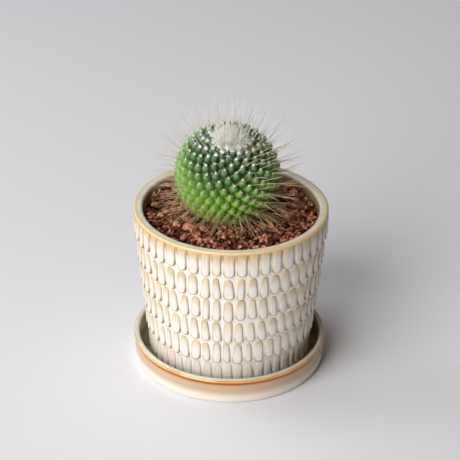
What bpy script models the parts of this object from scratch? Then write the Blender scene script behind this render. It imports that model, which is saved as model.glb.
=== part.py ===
"""Potted mammillaria: a globe cactus in a glazed pot on its saucer, dressed with stone chips.

Metres, +Z up. The origin is where the axis of the saucer meets the surface that it stands on.
The crown of the cactus leans towards -Y, the side that it is looked at from.
"""

import math
import random

import bmesh
import bpy
from mathutils import Matrix, Vector

MM = 0.001
GAP = 0.3 * MM  # kept between pieces that rest on or in each other
MERGE = 0.01 * MM  # points closer than this are one
SEED = 26
GOLDEN_ANGLE = math.pi * (3.0 - math.sqrt(5.0))

# Saucer
SAUCER_RADIUS = 61.5 * MM
SAUCER_HEIGHT = 17.4 * MM
SAUCER_LIP = 3.8 * MM
SAUCER_FLOOR = 5.0 * MM
SAUCER_RECESS_RADIUS = 46.0 * MM
SAUCER_RECESS = 1.2 * MM
SAUCER_EDGE = 1.5 * MM  # how far the lip's top edges are taken down
SAUCER_CORNER = 2.5 * MM  # width and height of the slanted corner inside
SAUCER_CORNER_HEIGHT = 2.0 * MM
SAUCER_LIP_LEAN = 0.6 * MM  # how far the inside of the wall leans out, towards its top
SAUCER_WAIST = 0.9 * MM  # the wall pulls in under the lip,
SAUCER_WAIST_DROP = 3.4 * MM  # this far down,
SAUCER_BELLY = 0.3 * MM  # and swells out again
SAUCER_BELLY_HEIGHT = 4.5 * MM
SAUCER_HEEL = 0.8 * MM
SAUCER_HEEL_HEIGHT = 1.2 * MM
SAUCER_FOOT_INSET = 2.4 * MM
SAUCER_SIDES = 48

# Pot
POT_FOOT = SAUCER_FLOOR + GAP
POT_TOP = 107.2 * MM
POT_WALL = 5.2 * MM
FOOT_RADIUS = 50.0 * MM
WALL_SLOPE = 0.0982  # how much the radius grows with height
POT_FLOOR = 6.5 * MM
LIP_ROUND = 1.2 * MM
BAND_BOTTOM = 105.2 * MM  # the smooth band under the rim
INNER_SIDES = 40
DRAIN_RADIUS = 5.0 * MM
DRAIN_SIDES = 16
FOOT_RECESS = 1.5 * MM
FOOT_RING = 6.0 * MM
CORNER_HEIGHT = 4.0 * MM  # the slanted corner between the pot's floor and its wall, inside
CORNER_WIDTH = 3.0 * MM
CUTTER_OVERLAP = 5.0 * MM  # how far a cutter reaches out of what it cuts

# Relief of hanging pads on the pot, in staggered rows from the band down
ROWS = 6
ROW_PITCH = 16.3 * MM
FIRST_ROW_BOTTOM = 90.0 * MM
PADS = 50
PAD_RAISE = 1.9 * MM
PAD_TOP_SHARE = 0.35  # how far the top of a pad stands out, of its full raise
PAD_GROOVE = 0.85 * MM  # half the width of the groove between pads
PAD_ROUNDING = 1.7 * MM  # how far the middle of a pad's end reaches past its corners
PAD_LENGTH_SPREAD = 0.6 * MM
PAD_TURN_SPREAD = 0.12  # of half a pad's width
PAD_RAISE_SPREAD = 0.12

# Soil and the dressing of stone chips
SOIL_TOP = 93.7 * MM
SOIL_SIDES = 40
BED_TOP_EDGE = 101.8 * MM
BED_TOP_MIDDLE = 102.8 * MM
BED_SIDES = 40
HOLE_STEPS = 4
CHIPS = 114
CHIP_SIZE = 6.8 * MM
CHIP_SPREAD = 0.15
CHIP_FLATNESS = 0.85  # height of a chip over its width
CHIP_CORNERS = 7
CHIP_LIFT = 0.3 * MM
CHIP_INSET = 0.35 * CHIP_SIZE  # the least distance of a chip's centre from the bed's edges

# Cactus
BODY_CENTRE = Vector((-2.5, 0.0, 128.5)) * MM
BODY_RADIUS = 32.0 * MM
TUBERCLE_HEIGHT = 3.4 * MM
LEAN_FORWARD = math.radians(20.0)
LEAN_RIGHT = math.radians(2.0)
CROWN_EDGE = math.radians(13.5)
FIRST_TURN = 2.135  # radians round the crown, where the spiral starts
LAST_TUBERCLE = math.radians(176.0)
CROWN_CELL = 11.5 * MM**2  # room that a tubercle has at the crown's edge
GROWN_CELL = 40.0 * MM**2  # and from the shoulder down
CELL_GROWTH = 0.44  # radians from the crown's edge in which most of the growth lies
NECK_RADIUS = 9.0 * MM
NECK_TIP_RADIUS = 5.0 * MM
NECK_TOP = BODY_CENTRE.z - 20.0 * MM
NECK_SHOULDER = SOIL_TOP - 4.0 * MM
NECK_BOTTOM = 72.0 * MM
NECK_SIDES = 16

# Spines, one long one to an areole
SPINE_SIDES = 3
SPINE_BASE = 0.45 * MM
SPINE_LENGTH = 20.0 * MM
SPINE_SPREAD = 3.5 * MM
SPINE_ROOT = 1.6 * MM
SPINE_RISE = 0.18  # how far a spine leans from square to the body towards the crown
SPINE_JITTER = 0.10
SPINE_EVERY = 2  # one spine to this many tubercles
CROWDED_TUBERCLES = 12  # the first ones, whose spines are those of the crown
SPINE_LOWEST_START = 108.0 * MM
SPINE_CLEAR_OF_CHIPS = 107.8 * MM
SPINE_CLEAR_OF_RIM = POT_TOP + 2.4 * MM
RIM_REACH = 50.0 * MM
LIFT_STEP = 0.05
LIFT_STEPS = 60

# Wool on the crown
WOOL_DISH = 30.0 * MM  # radius of the dish that it lies in, from the body's centre
WOOL_TOP = 33.0 * MM
WOOL_EDGE = 31.3 * MM
WOOL_SIDES = 20
WOOL_STEPS = 4
WOOL_SPREAD = 0.86 * CROWN_EDGE  # angle from the crown to the wool's edge
DISH_DEPTH = 9.0 * MM  # how far the dish's cutter reaches over the wool
TUFTS = 12
TUFT_CORNERS = 7
TUFT_RADIUS = 1.6 * MM
TUFT_RADIUS_SPREAD = 0.15
TUFT_SINK = 0.4 * MM
TUFTS_SPREAD = 0.66 * CROWN_EDGE
CROWN_SPINES = 20
CROWN_SPINES_SPREAD = 0.80 * CROWN_EDGE
CROWN_SPINES_SEAT = WOOL_DISH + 1.2 * MM
CROWN_SPINES_JITTER = 0.22
FIRST_CROWN_SPINE = 1.0  # radians round the crown, so that no spine meets a tuft's middle


def clear_scene():
    for item in list(bpy.data.objects):
        bpy.data.objects.remove(item)


def collection(name):
    made = bpy.data.collections.new(name)
    bpy.context.scene.collection.children.link(made)
    return made


def principled(name, colour, roughness):
    material = bpy.data.materials.new(name)
    material.use_nodes = True
    shader = material.node_tree.nodes["Principled BSDF"]
    shader.inputs["Base Color"].default_value = (*colour, 1.0)
    shader.inputs["Roughness"].default_value = roughness
    return material


def turned(name, profile, sides, into):
    """A solid turned round Z from a profile of (radius, height), down its outer side."""
    mesh = bpy.data.meshes.new(name)
    points = [(radius, 0.0, height) for radius, height in profile]
    closed = profile[0][0] > 0.0
    edges = [(i, i + 1) for i in range(len(points) - 1)]
    if closed:
        edges.append((len(points) - 1, 0))
    mesh.from_pydata(points, edges, [])
    item = bpy.data.objects.new(name, mesh)
    into.objects.link(item)
    screw = item.modifiers.new("turn", "SCREW")
    screw.steps = sides
    screw.render_steps = sides
    screw.use_merge_vertices = True
    screw.merge_threshold = MERGE
    return item


def applied(item):
    """The object with its modifiers made part of its mesh."""
    bpy.context.view_layer.update()
    depsgraph = bpy.context.evaluated_depsgraph_get()
    mesh = bpy.data.meshes.new_from_object(item.evaluated_get(depsgraph))
    item.modifiers.clear()
    item.data = mesh
    return item


def as_cutter(item):
    item.hide_render = True
    item.display_type = "WIRE"
    return item


def cut(item, cutter):
    change = item.modifiers.new("cut by " + cutter.name, "BOOLEAN")
    change.operation = "DIFFERENCE"
    change.solver = "EXACT"
    change.object = cutter


def fuse(item, pieces):
    """Joins every object of a collection to the item, and removes them."""
    change = item.modifiers.new("fuse", "BOOLEAN")
    change.operation = "UNION"
    change.operand_type = "COLLECTION"
    change.solver = "MANIFOLD"
    change.collection = pieces
    applied(item)
    drop_scraps(item)
    for piece in list(pieces.objects):
        bpy.data.objects.remove(piece)
    bpy.data.collections.remove(pieces)


def drop_scraps(item):
    """Keeps the largest connected piece of a mesh, where a repeat missed what it grows from."""
    shape = bmesh.new()
    shape.from_mesh(item.data)
    left = set(shape.verts)
    bodies = []
    while left:
        reached = [left.pop()]
        for vert in reached:
            for edge in vert.link_edges:
                other = edge.other_vert(vert)
                if other in left:
                    left.remove(other)
                    reached.append(other)
        bodies.append(reached)
    bodies.sort(key=len)
    for scrap in bodies[:-1]:
        bmesh.ops.delete(shape, geom=scrap, context="VERTS")
    shape.to_mesh(item.data)
    shape.free()


def finish(item, name, material, smooth_under):
    item.name = name
    item.data.name = name
    item.data.materials.clear()
    item.data.materials.append(material)
    item.data.shade_smooth()
    item.data.set_sharp_from_angle(angle=math.radians(smooth_under))


def wall_radius(height):
    """Radius of the pot's outer wall in the grooves between its pads."""
    return FOOT_RADIUS + (height - POT_FOOT) * WALL_SLOPE


def inner_radius(height):
    return wall_radius(height) - POT_WALL


def make_saucer(parts):
    lip_inside = SAUCER_RADIUS - SAUCER_LIP
    profile = [
        (0.0, SAUCER_FLOOR),
        (lip_inside - SAUCER_CORNER, SAUCER_FLOOR),
        (lip_inside - SAUCER_LIP_LEAN, SAUCER_FLOOR + SAUCER_CORNER_HEIGHT),
        (lip_inside, SAUCER_HEIGHT - SAUCER_EDGE),
        (lip_inside + SAUCER_EDGE, SAUCER_HEIGHT),
        (SAUCER_RADIUS - SAUCER_EDGE, SAUCER_HEIGHT),
        (SAUCER_RADIUS, SAUCER_HEIGHT - SAUCER_EDGE),
        (SAUCER_RADIUS - SAUCER_WAIST, SAUCER_HEIGHT - SAUCER_WAIST_DROP),
        (SAUCER_RADIUS - SAUCER_BELLY, SAUCER_BELLY_HEIGHT),
        (SAUCER_RADIUS - SAUCER_HEEL, SAUCER_HEEL_HEIGHT),
        (SAUCER_RADIUS - SAUCER_FOOT_INSET, 0.0),
        (SAUCER_RECESS_RADIUS, 0.0),
        (SAUCER_RECESS_RADIUS - SAUCER_RECESS, SAUCER_RECESS),
        (0.0, SAUCER_RECESS),
    ]
    saucer = turned("saucer", profile, SAUCER_SIDES, parts)
    glaze = principled("saucer_glaze", (0.72, 0.62, 0.50), 0.28)
    finish(applied(saucer), "saucer", glaze, smooth_under=40)


def row_bottom(row):
    return FIRST_ROW_BOTTOM - row * ROW_PITCH


def raise_pads(pot):
    """Dissolves the wall's grid into staggered bricks, and insets and raises each as a hanging pad."""
    draw = random.Random(SEED)
    half_pitch = math.pi / PADS
    heights = [BAND_BOTTOM] + [row_bottom(row) for row in range(ROWS)]
    shape = bmesh.new()
    shape.from_mesh(pot.data)

    def ring_of(vert):
        near = min(range(len(heights)), key=lambda ring: abs(heights[ring] - vert.co.z))
        on_wall = math.hypot(vert.co.x, vert.co.y) > FOOT_RADIUS
        return near if on_wall and abs(heights[near] - vert.co.z) < MERGE else None

    def column_of(vert):
        return round(math.atan2(vert.co.y, vert.co.x) / half_pitch) % (2 * PADS)

    places = {vert: (ring_of(vert), column_of(vert)) for vert in shape.verts}
    middles = []
    for edge in shape.edges:
        (ring_a, column), (ring_b, other) = places[edge.verts[0]], places[edge.verts[1]]
        if ring_a is None or ring_b is None or ring_a == ring_b or column != other:
            continue
        if column % 2 == min(ring_a, ring_b) % 2:
            middles.append(edge)
    bmesh.ops.dissolve_edges(shape, edges=middles, use_verts=False)
    pads = [face for face in shape.faces if len(face.verts) == 6]
    for vert, (ring, column) in places.items():
        if ring is None:
            continue
        angle = (column + draw.uniform(-PAD_TURN_SPREAD, PAD_TURN_SPREAD)) * half_pitch
        height = heights[ring]
        if 0 < ring < ROWS:
            height += PAD_ROUNDING if column % 2 == ring % 2 else -PAD_ROUNDING
            height += draw.uniform(-PAD_LENGTH_SPREAD, PAD_LENGTH_SPREAD)
        radius = wall_radius(height)
        vert.co = (radius * math.cos(angle), radius * math.sin(angle), height)
    bmesh.ops.inset_individual(shape, faces=pads, thickness=PAD_GROOVE, depth=0.0)
    for pad in pads:
        top = max(vert.co.z for vert in pad.verts)
        bottom = min(vert.co.z for vert in pad.verts)
        fullness = PAD_RAISE * (1.0 + draw.uniform(-PAD_RAISE_SPREAD, PAD_RAISE_SPREAD))
        for vert in pad.verts:
            down = math.sqrt((top - vert.co.z) / (top - bottom))
            rise = fullness * (PAD_TOP_SHARE + (1.0 - PAD_TOP_SHARE) * down)
            angle = math.atan2(vert.co.y, vert.co.x)
            radius = wall_radius(vert.co.z) + rise
            vert.co.x = radius * math.cos(angle)
            vert.co.y = radius * math.sin(angle)
    bmesh.ops.triangulate(shape, faces=shape.faces)
    shape.to_mesh(pot.data)
    shape.free()


def make_pot(parts, cutters):
    outline = [
        (0.0, POT_TOP),
        (wall_radius(POT_TOP) - LIP_ROUND, POT_TOP),
        (wall_radius(POT_TOP), POT_TOP - LIP_ROUND),
        (wall_radius(BAND_BOTTOM), BAND_BOTTOM),
    ]
    outline += [(wall_radius(row_bottom(row)), row_bottom(row)) for row in range(ROWS)]
    outline += [(FOOT_RADIUS, POT_FOOT), (0.0, POT_FOOT)]
    pot = applied(turned("pot", outline, 2 * PADS, parts))
    raise_pads(pot)

    floor = POT_FOOT + POT_FLOOR
    inner_top = inner_radius(POT_TOP)
    cavity = [
        (0.0, POT_TOP + CUTTER_OVERLAP),
        (inner_top + LIP_ROUND + CUTTER_OVERLAP, POT_TOP + CUTTER_OVERLAP),
        (inner_top + LIP_ROUND, POT_TOP),
        (inner_top, POT_TOP - LIP_ROUND),
        (inner_radius(floor + CORNER_HEIGHT), floor + CORNER_HEIGHT),
        (inner_radius(floor) - CORNER_WIDTH, floor),
        (0.0, floor),
    ]
    cut(pot, as_cutter(turned("pot_cavity", cavity, INNER_SIDES, cutters)))
    under = POT_FOOT - CUTTER_OVERLAP
    recess = [
        (0.0, POT_FOOT + FOOT_RECESS),
        (FOOT_RADIUS - FOOT_RING - FOOT_RECESS, POT_FOOT + FOOT_RECESS),
        (FOOT_RADIUS - FOOT_RING, POT_FOOT),
        (FOOT_RADIUS - FOOT_RING, under),
        (0.0, under),
    ]
    cut(pot, as_cutter(turned("foot_recess", recess, INNER_SIDES, cutters)))
    hole = [
        (0.0, floor + CUTTER_OVERLAP),
        (DRAIN_RADIUS, floor + CUTTER_OVERLAP),
        (DRAIN_RADIUS, POT_FOOT),
        (0.0, POT_FOOT),
    ]
    cut(pot, as_cutter(turned("drain_hole", hole, DRAIN_SIDES, cutters)))
    glaze = principled("pot_glaze", (0.80, 0.73, 0.62), 0.35)
    finish(applied(pot), "pot", glaze, smooth_under=30)


def make_soil(parts, cutters):
    floor = POT_FOOT + POT_FLOOR + GAP
    profile = [
        (0.0, SOIL_TOP),
        (inner_radius(SOIL_TOP) - 2.0 * GAP, SOIL_TOP),
        (inner_radius(floor + CORNER_HEIGHT) - 2.0 * GAP, floor + CORNER_HEIGHT),
        (inner_radius(floor) - CORNER_WIDTH - 2.0 * GAP, floor),
        (0.0, floor),
    ]
    soil = turned("soil", profile, SOIL_SIDES, parts)
    hole = [
        (0.0, SOIL_TOP + CUTTER_OVERLAP),
        (NECK_RADIUS + GAP, SOIL_TOP + CUTTER_OVERLAP),
        (NECK_RADIUS + GAP, NECK_SHOULDER),
        (NECK_TIP_RADIUS + GAP, NECK_BOTTOM - GAP),
        (0.0, NECK_BOTTOM - GAP),
    ]
    cutter = as_cutter(turned("root_hole", hole, NECK_SIDES, cutters))
    cutter.location.x = BODY_CENTRE.x
    cut(soil, cutter)
    earth = principled("soil_dark", (0.035, 0.022, 0.015), 0.95)
    finish(applied(soil), "soil", earth, smooth_under=40)


def any_direction(draw):
    return Vector([draw.gauss(0.0, 1.0) for _ in range(3)]).normalized()


def convex_piece(name, points, into):
    """The convex hull of a few points, as its own object."""
    shape = bmesh.new()
    for point in points:
        shape.verts.new(point)
    result = bmesh.ops.convex_hull(shape, input=shape.verts)
    inside = [item for item in result["geom_interior"] if isinstance(item, bmesh.types.BMVert)]
    bmesh.ops.delete(shape, geom=inside, context="VERTS")
    bmesh.ops.recalc_face_normals(shape, faces=shape.faces)
    mesh = bpy.data.meshes.new(name)
    shape.to_mesh(mesh)
    shape.free()
    piece = bpy.data.objects.new(name, mesh)
    into.objects.link(piece)
    return piece


def bed_height(radius):
    """Height of the bed of chips, a little heaped towards the plant."""
    share = radius / inner_radius(BED_TOP_EDGE)
    return BED_TOP_MIDDLE + (BED_TOP_EDGE - BED_TOP_MIDDLE) * share


def kept_clear(corner, outside):
    """A chip's corner, moved inside the pot's wall and outside the plant's body."""
    reach = math.hypot(corner.x, corner.y)
    if reach > outside:
        corner.x *= outside / reach
        corner.y *= outside / reach
    away = corner - BODY_CENTRE
    if away.length < BODY_RADIUS + 2.0 * GAP:
        corner = BODY_CENTRE + away.normalized() * (BODY_RADIUS + 2.0 * GAP)
    return corner


def body_hole(height):
    """Radius of the hole that keeps the bed clear of the plant's body, and of its neck below that."""
    clear = BODY_RADIUS + 2.0 * GAP
    across = math.sqrt(max(0.0, clear**2 - (BODY_CENTRE.z - height) ** 2))
    return max(across, NECK_RADIUS + 2.0 * GAP)


def make_gravel(parts, cutters):
    draw = random.Random(SEED + 1)
    bottom = SOIL_TOP + GAP
    outside = inner_radius(BED_TOP_EDGE - CHIP_SIZE / 2.0) - 2.0 * GAP
    profile = [
        (0.0, bed_height(0.0)),
        (outside, bed_height(outside)),
        (inner_radius(bottom) - 2.0 * GAP, bottom),
        (0.0, bottom),
    ]
    bed = turned("gravel", profile, BED_SIDES, parts)
    above = BED_TOP_MIDDLE + CUTTER_OVERLAP
    under = bottom - CUTTER_OVERLAP
    body_bottom = BODY_CENTRE.z - BODY_RADIUS
    steps = [above + (body_bottom - above) * step / HOLE_STEPS for step in range(HOLE_STEPS + 1)]
    stem_hole = [(0.0, above)]
    stem_hole += [(body_hole(height), height) for height in steps]
    stem_hole += [(body_hole(under), under), (0.0, under)]
    cutter = as_cutter(turned("stem_hole", stem_hole, BED_SIDES, cutters))
    cutter.location.x = BODY_CENTRE.x
    cut(bed, cutter)
    applied(bed)
    pieces = collection("chips")
    first = body_hole(BED_TOP_MIDDLE) + CHIP_INSET
    last = outside - CHIP_INSET
    for index in range(CHIPS):
        share = (index + 0.5) / CHIPS
        radius = math.sqrt(first**2 + (last**2 - first**2) * share)
        angle = index * GOLDEN_ANGLE
        across = radius * math.cos(angle) + BODY_CENTRE.x * (1.0 - share)
        centre = Vector((across, radius * math.sin(angle), bed_height(radius) + CHIP_LIFT))
        size = CHIP_SIZE * (1.0 + draw.uniform(-CHIP_SPREAD, CHIP_SPREAD))
        corners = []
        for _ in range(CHIP_CORNERS):
            spread = any_direction(draw) * size / 2.0
            spread.z *= CHIP_FLATNESS
            corners.append(kept_clear(centre + spread, outside))
        convex_piece("chip", corners, pieces)
    fuse(bed, pieces)
    stone = principled("copper_chips", (0.30, 0.12, 0.075), 0.55)
    finish(bed, "gravel", stone, smooth_under=20)


def plant_frame():
    """Turns +Z to the way that the crown points."""
    return Matrix.Rotation(LEAN_RIGHT, 3, "Y") @ Matrix.Rotation(LEAN_FORWARD, 3, "X")


def tubercle_area(polar):
    """Room that a tubercle has on the body, which grows from the crown to the waist."""
    left = math.exp(-(polar - CROWN_EDGE) / CELL_GROWTH)
    return GROWN_CELL + (CROWN_CELL - GROWN_CELL) * left


def plant_direction(polar, turn):
    """Unit vector at an angle from the crown, turned round it."""
    flat = math.sin(polar)
    return plant_frame() @ Vector((flat * math.cos(turn), flat * math.sin(turn), math.cos(polar)))


def tubercle_directions():
    """Direction of each tubercle from the body's centre, in a golden spiral from the crown."""
    directions = []
    polar = CROWN_EDGE
    turn = FIRST_TURN
    while polar < LAST_TUBERCLE:
        directions.append(plant_direction(polar, turn))
        turn += GOLDEN_ANGLE
        polar += tubercle_area(polar) / (math.tau * BODY_RADIUS**2 * math.sin(polar))
    return directions


def make_body(directions, parts):
    """A globe of pyramids: the hull of the tips, with a pit sunk at the middle of each three tips."""
    shape = bmesh.new()
    for direction in directions:
        shape.verts.new(direction)
    shape.verts.new(plant_direction(0.0, 0.0))
    bmesh.ops.convex_hull(shape, input=shape.verts)
    tips = set(shape.verts)
    ridges = list(shape.edges)
    bmesh.ops.poke(shape, faces=shape.faces)
    pits = [vert for vert in shape.verts if vert not in tips]
    bmesh.ops.rotate_edges(shape, edges=ridges, use_ccw=False)
    for vert in tips:
        vert.co = BODY_CENTRE + vert.co.normalized() * BODY_RADIUS
    for vert in pits:
        vert.co = BODY_CENTRE + vert.co.normalized() * (BODY_RADIUS - TUBERCLE_HEIGHT)
    bmesh.ops.recalc_face_normals(shape, faces=shape.faces)
    mesh = bpy.data.meshes.new("cactus")
    shape.to_mesh(mesh)
    shape.free()
    body = bpy.data.objects.new("cactus", mesh)
    parts.objects.link(body)
    return body


def needle(name, root, direction, length, into):
    """A three-sided needle that tapers to a point."""
    shape = bmesh.new()
    bmesh.ops.create_cone(
        shape, cap_ends=True, segments=SPINE_SIDES, radius1=SPINE_BASE, radius2=0.0, depth=length
    )
    bmesh.ops.remove_doubles(shape, verts=shape.verts, dist=MERGE)
    place = Matrix.Translation(root + direction * length / 2.0)
    turn = direction.to_track_quat("Z", "Y").to_matrix().to_4x4()
    bmesh.ops.transform(shape, matrix=place @ turn, verts=shape.verts)
    mesh = bpy.data.meshes.new(name)
    shape.to_mesh(mesh)
    shape.free()
    piece = bpy.data.objects.new(name, mesh)
    into.objects.link(piece)


def lifted(start, direction, length):
    """The direction, turned up until the spine's tip is clear of the chips and of the rim."""
    for _ in range(LIFT_STEPS):
        tip = start + direction * length
        past_rim = math.hypot(tip.x, tip.y) > RIM_REACH
        lowest = SPINE_CLEAR_OF_RIM if past_rim else SPINE_CLEAR_OF_CHIPS
        if tip.z >= lowest:
            break
        direction = (direction + Vector((0.0, 0.0, LIFT_STEP))).normalized()
    return direction


def jittered(direction, draw, amount):
    return (direction + Vector([draw.uniform(-amount, amount) for _ in range(3)])).normalized()


def make_cactus(parts, cutters):
    draw = random.Random(SEED + 2)
    directions = tubercle_directions()
    body = make_body(directions, parts)
    crown = plant_direction(0.0, 0.0)
    above = WOOL_TOP + DISH_DEPTH
    outline = crown_profile(WOOL_DISH - GAP, above, above, GAP)
    dish = turned("wool_dish", outline, WOOL_SIDES, cutters)
    dish.matrix_world = crown_matrix()
    cut(body, as_cutter(dish))
    applied(body)

    pieces = collection("spines")
    neck = [
        (0.0, NECK_TOP),
        (NECK_RADIUS, NECK_TOP),
        (NECK_RADIUS, NECK_SHOULDER),
        (NECK_TIP_RADIUS, NECK_BOTTOM),
        (0.0, NECK_BOTTOM),
    ]
    stem = applied(turned("neck", neck, NECK_SIDES, pieces))
    stem.location.x = BODY_CENTRE.x
    for index, direction in enumerate(directions):
        start = BODY_CENTRE + direction * BODY_RADIUS
        if index % SPINE_EVERY or index < CROWDED_TUBERCLES or start.z < SPINE_LOWEST_START:
            continue
        length = SPINE_LENGTH + draw.uniform(-SPINE_SPREAD, SPINE_SPREAD)
        way = jittered((direction + crown * SPINE_RISE).normalized(), draw, SPINE_JITTER)
        way = lifted(start, way, length)
        root = start - way * SPINE_ROOT
        needle("spine", root, way, length + SPINE_ROOT, pieces)
    fuse(body, pieces)
    flesh = principled("cactus_green", (0.07, 0.17, 0.045), 0.45)
    finish(body, "cactus", flesh, smooth_under=20)


def crown_matrix():
    """Stands a turned piece on the body's centre, with its axis through the crown."""
    return Matrix.Translation(BODY_CENTRE) @ plant_frame().to_4x4()


def crown_profile(inner, middle, rim, wider):
    """Half outline of a lens round the crown, between radii from the body's centre."""
    edge = WOOL_SPREAD + wider / inner
    top = []
    bottom = []
    for step in range(WOOL_STEPS + 1):
        share = step / WOOL_STEPS
        angle = edge * share
        outer = middle + (rim - middle) * share**2
        top.append((outer * math.sin(angle), outer * math.cos(angle)))
        bottom.append((inner * math.sin(angle), inner * math.cos(angle)))
    return top + bottom[::-1]


def make_wool(parts):
    """Woolly cap on the crown with its white spines, in the dish of the body."""
    draw = random.Random(SEED + 3)
    outline = crown_profile(WOOL_DISH, WOOL_TOP, WOOL_EDGE, 0.0)
    lens = turned("crown_wool", outline, WOOL_SIDES, parts)
    lens.matrix_world = crown_matrix()
    applied(lens)
    lens.data.transform(lens.matrix_world)
    lens.matrix_world = Matrix.Identity(4)
    pieces = collection("tufts")
    for index in range(TUFTS):
        polar = TUFTS_SPREAD * math.sqrt((index + 0.5) / TUFTS)
        direction = plant_direction(polar, index * GOLDEN_ANGLE)
        centre = BODY_CENTRE + direction * (WOOL_TOP - TUFT_SINK)
        radius = TUFT_RADIUS * (1.0 + draw.uniform(-TUFT_RADIUS_SPREAD, TUFT_RADIUS_SPREAD))
        corners = [centre + any_direction(draw) * radius for _ in range(TUFT_CORNERS)]
        convex_piece("tuft", corners, pieces)
    for index in range(CROWN_SPINES):
        polar = CROWN_SPINES_SPREAD * math.sqrt((index + 0.5) / CROWN_SPINES)
        direction = plant_direction(polar, FIRST_CROWN_SPINE + index * GOLDEN_ANGLE)
        length = SPINE_LENGTH + draw.uniform(-SPINE_SPREAD, SPINE_SPREAD)
        way = jittered(direction, draw, CROWN_SPINES_JITTER)
        needle("crown_spine", BODY_CENTRE + direction * CROWN_SPINES_SEAT, way, length, pieces)
    fuse(lens, pieces)
    wool = principled("white_wool", (0.82, 0.82, 0.76), 0.95)
    finish(lens, "crown_wool", wool, smooth_under=20)


def main():
    clear_scene()
    parts = collection("potted_mammillaria")
    cutters = collection("cutters")
    make_saucer(parts)
    make_pot(parts, cutters)
    make_soil(parts, cutters)
    make_gravel(parts, cutters)
    make_cactus(parts, cutters)
    make_wool(parts)


main()
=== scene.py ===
import math

import bmesh
import bpy
import numpy as np
from mathutils import Euler, Matrix, Vector


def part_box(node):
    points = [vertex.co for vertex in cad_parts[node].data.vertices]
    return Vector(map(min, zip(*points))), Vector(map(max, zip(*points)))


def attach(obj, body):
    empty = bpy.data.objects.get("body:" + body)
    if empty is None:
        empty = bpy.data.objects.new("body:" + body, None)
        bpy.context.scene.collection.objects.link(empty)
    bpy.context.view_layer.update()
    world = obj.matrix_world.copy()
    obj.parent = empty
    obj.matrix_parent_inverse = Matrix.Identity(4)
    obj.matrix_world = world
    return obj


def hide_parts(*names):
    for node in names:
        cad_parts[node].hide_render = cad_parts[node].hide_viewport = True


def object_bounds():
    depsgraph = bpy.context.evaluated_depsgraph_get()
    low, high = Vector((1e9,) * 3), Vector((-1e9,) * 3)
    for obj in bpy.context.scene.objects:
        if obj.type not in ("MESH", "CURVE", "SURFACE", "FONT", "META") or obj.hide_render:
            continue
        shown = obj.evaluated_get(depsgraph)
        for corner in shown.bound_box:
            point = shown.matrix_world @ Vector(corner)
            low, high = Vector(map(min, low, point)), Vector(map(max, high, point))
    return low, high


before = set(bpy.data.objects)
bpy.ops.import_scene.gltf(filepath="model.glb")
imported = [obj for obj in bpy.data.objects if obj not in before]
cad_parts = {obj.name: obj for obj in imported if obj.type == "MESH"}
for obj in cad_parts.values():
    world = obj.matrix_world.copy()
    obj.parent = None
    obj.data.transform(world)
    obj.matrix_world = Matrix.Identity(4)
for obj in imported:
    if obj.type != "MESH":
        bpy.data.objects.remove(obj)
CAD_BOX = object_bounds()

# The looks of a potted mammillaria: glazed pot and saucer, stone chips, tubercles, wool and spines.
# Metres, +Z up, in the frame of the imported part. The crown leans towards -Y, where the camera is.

MM = 0.001
SEED = 26
GOLDEN_ANGLE = math.pi * (3.0 - math.sqrt(5.0))

# Camera, fitted to the ellipses of the rims in the picture
LENS = 126.15  # mm
SENSOR_WIDTH = 36.0
CAMERA_TARGET = Vector((-0.58, 0.0, 89.05)) * MM
CAMERA_DISTANCE = 1006.9 * MM
CAMERA_DOWN = math.radians(29.515)
CAMERA_ROLL = math.radians(0.861)

# Pot
POT_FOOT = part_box("pot")[0].z
POT_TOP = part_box("pot")[1].z
POT_WALL = 5.2 * MM
FOOT_RADIUS = 50.0 * MM
WALL_SLOPE = 0.0982
POT_FLOOR = 6.5 * MM
LIP_ROUND = 1.2 * MM
BAND_BOTTOM = POT_TOP - 2.0 * MM
BAND_PROUD = 0.35 * MM
LIP_WIDTH = 4.2 * MM  # of the rounded top, from its inner edge to its outer one
LIP_GOLD = 1.6 * MM  # and the outer part of it that has the golden glaze
LIP_ROUND_IN = 0.42  # radius of the lip's inner side, of its width
LIP_ARC = 8  # points of each round side
POT_COLUMNS = 288
POT_LEVELS = 110
DRAIN_RADIUS = 5.0 * MM
FOOT_RECESS = 1.5 * MM
FOOT_RING = 6.0 * MM

# Hanging pads of the pot's relief
ROWS = 6
ROW_PITCH = 16.3 * MM
FIRST_ROW_BOTTOM = 90.0 * MM
PADS = 50
ROW_PHASES = (0.42, 0.33, 0.42, 0.38, 0.30, 0.40)  # of a pitch, so that the rows stand as in the picture
ROW_TANS = (1.0, 1.0, 0.95, 0.85, 0.70, 0.45)  # the glaze of the lower rows is whiter
ROW_HEIGHTS = (1.0, 1.0, 1.0, 0.95, 0.85, 0.65)  # and their pads are flatter
PAD_JITTER = 0.12  # of a pitch, for the grooves between the pads
WALL_SWELL = 0.6 * MM  # how far the wall itself comes out towards the bottom of a row
UNDERCUT = 2.6 * MM  # and how far under it the wall is back in,
UNDERCUT_HEIGHT = 3.4 * MM  # over this height
PAD_LOW = 1.35 * MM  # height of a pad over the wall at its bottom
PAD_HIGH = 0.42 * MM  # and at its top
PAD_PILLOW = 0.22 * MM
PAD_FOOT = 0.5 * MM  # how deep a pad reaches into the wall
PAD_RINGS = (0.0, 0.07, 0.20, 0.40, 0.72, 1.20)  # mm in from a pad's edge
PAD_INNER_RINGS = (0.42, 0.14)  # and then of the way from the pad's middle line to its edge
PAD_ARC = 12  # points of a round end
PAD_SIDE = 6  # and of a side
PAD_CORNER = 2.0 / 2.15  # the power of a pad's round ends, a bit squarer than an ellipse
PAD_LOWER_END = 0.95  # height of a pad's rounded lower end, of half its width there,
PAD_UPPER_END = 1.35  # and of its upper end,
SQUARE_END = 0.8 * MM  # which is square under the band
PAD_TAPERS = (0.70, 0.80, 0.88, 0.95)  # width of a pad's top, of its bottom's
TOP_TAPER = 0.93  # for the row under the band
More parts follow.
